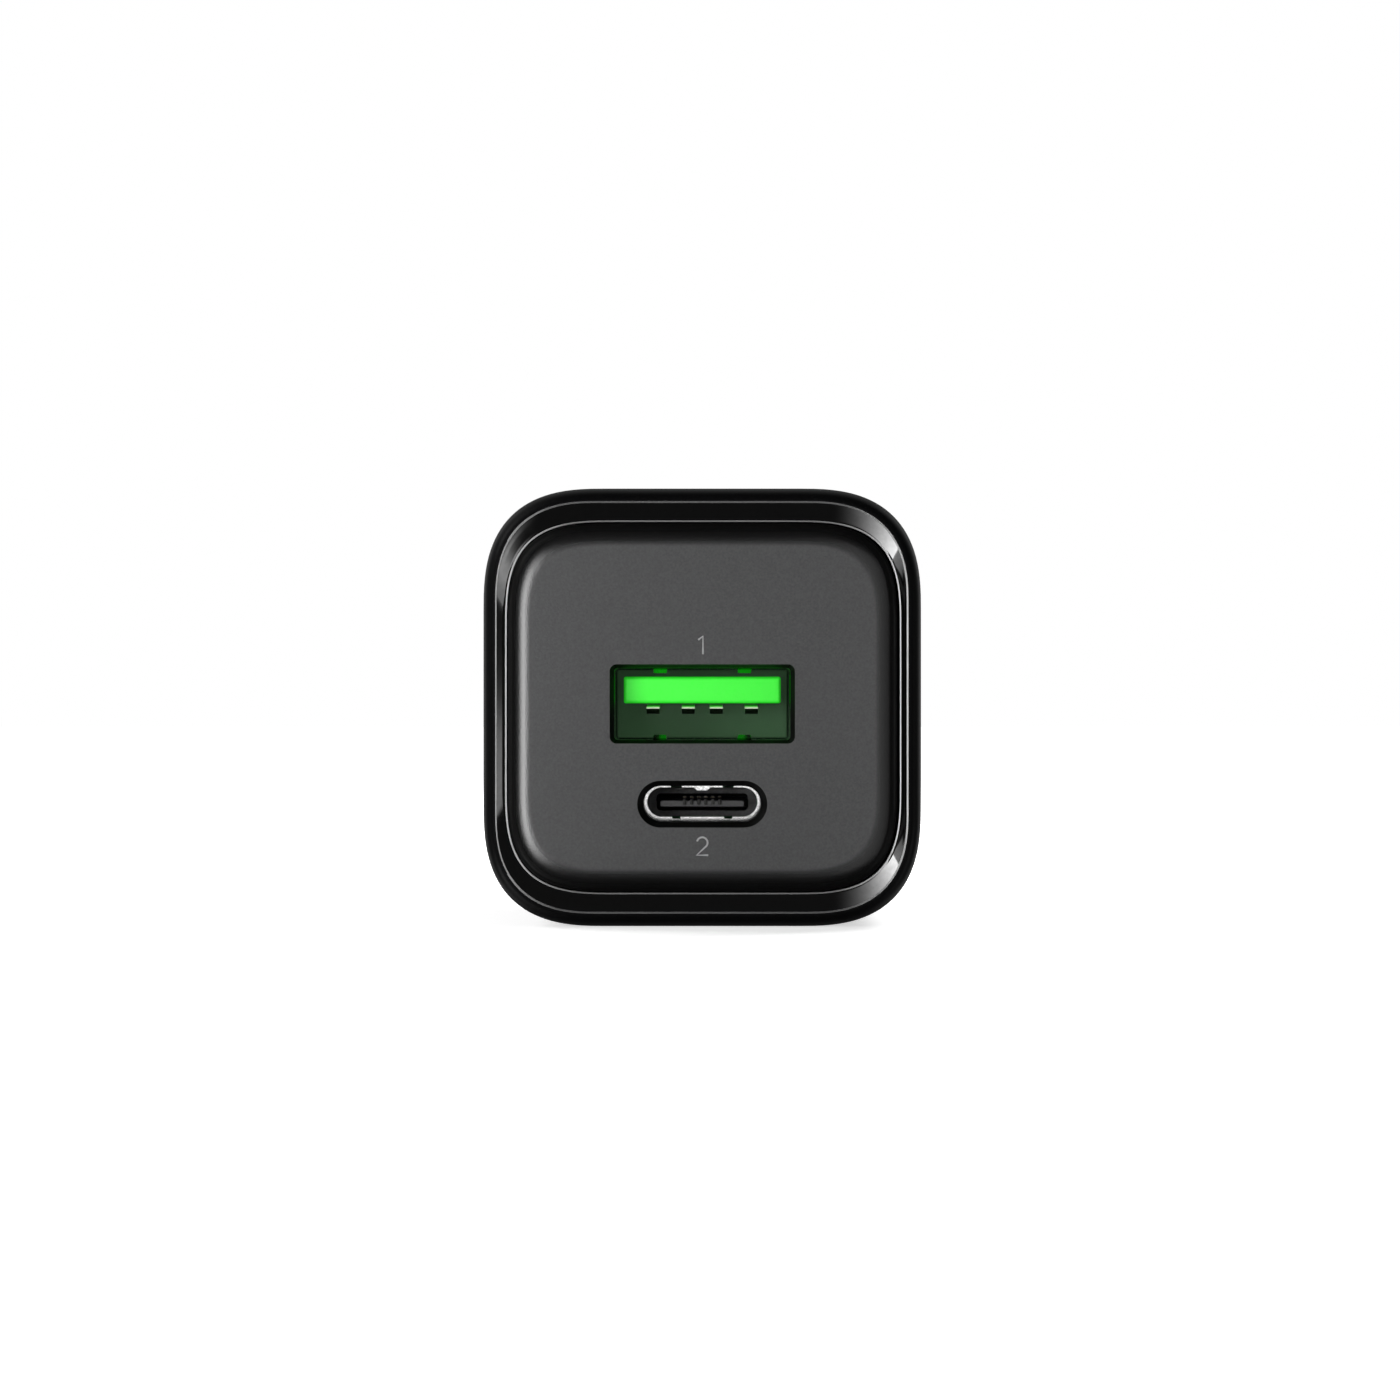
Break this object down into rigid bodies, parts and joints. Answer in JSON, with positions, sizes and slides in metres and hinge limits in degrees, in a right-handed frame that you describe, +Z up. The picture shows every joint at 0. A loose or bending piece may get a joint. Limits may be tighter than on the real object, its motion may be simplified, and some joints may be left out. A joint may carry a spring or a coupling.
{
  "type": "usb wall charger",
  "caption": "Compact rounded-cube wall charger with a recessed matte front, a USB-A and a USB-C port, and a folding two-blade mains plug at the rear.",
  "frame": {"origin": "on the floor, under the middle of the whole length with the plug folded out", "axes": "+Y along the plug's blades, +Z up; the ports face -Y"},
  "size_m": [0.031, 0.0544, 0.031],
  "materials": {
    "gloss_black": "polished black plastic",
    "matte_grey": "finely textured dark grey plastic",
    "satin_black": "satin black plastic",
    "green_plastic": "bright green moulding",
    "bright_steel": "bright plated steel",
    "nickel_brass": "nickel-plated brass",
    "gold_contact": "gold flash",
    "board_laminate": "green laminate",
    "ferrite": "sintered ferrite",
    "yellow_tape": "polyester tape over copper wire",
    "enamelled_copper": "enamelled copper wire",
    "capacitor_sleeve": "shrunk plastic sleeve",
    "capacitor_can": "bare aluminium can",
    "blue_ceramic": "dipped blue coating",
    "black_epoxy": "moulded epoxy",
    "insulating_film": "pale insulating film",
    "fuse_body": "brown sleeve"
  },
  "bodies": {
    "housing": {"outer_shell": "gloss_black", "front_panel": "matte_grey", "rear_cover": "gloss_black", "rotor_retainer": "satin_black", "detent_spring": "nickel_brass", "ac_contact_left": "nickel_brass", "ac_contact_right": "nickel_brass", "main_board": "board_laminate", "port_board": "board_laminate", "insulation_sheet": "insulating_film", "usb_a_shell": "bright_steel", "usb_a_insulator": "green_plastic", "usb_a_contact_1": "nickel_brass", "usb_a_contact_2": "nickel_brass", "usb_a_contact_3": "nickel_brass", "usb_a_contact_4": "nickel_brass", "usb_c_shell": "bright_steel", "usb_c_insulator": "satin_black", "usb_c_contact_1": "gold_contact", "usb_c_contact_2": "gold_contact", "usb_c_contact_3": "gold_contact", "usb_c_contact_4": "gold_contact", "usb_c_contact_5": "gold_contact", "usb_c_contact_6": "gold_contact", "transformer_core_upper": "ferrite", "transformer_core_lower": "ferrite", "transformer_bobbin": "black_epoxy", "transformer_winding": "yellow_tape", "bulk_capacitor_1": "capacitor_sleeve", "bulk_capacitor_2": "capacitor_sleeve", "output_capacitor_1": "capacitor_can", "output_capacitor_2": "capacitor_can", "y_capacitor": "blue_ceramic", "choke_core": "ferrite", "choke_winding": "enamelled_copper", "fuse": "fuse_body", "bridge_rectifier": "black_epoxy", "controller_ic": "black_epoxy", "sync_rectifier": "black_epoxy", "optocoupler": "insulating_film", "pd_controller_ic": "black_epoxy"},
    "plug": {"plug_rotor": "satin_black", "blade_left": "nickel_brass", "blade_right": "nickel_brass"}
  },
  "joints": [
    {"name": "plug_fold", "type": "hinge", "parent": "housing", "child": "plug", "pos_m": [0, 0.00745, 0.0258], "axis": [-1, 0, 0], "range_deg": [0, 90]}
  ]
}
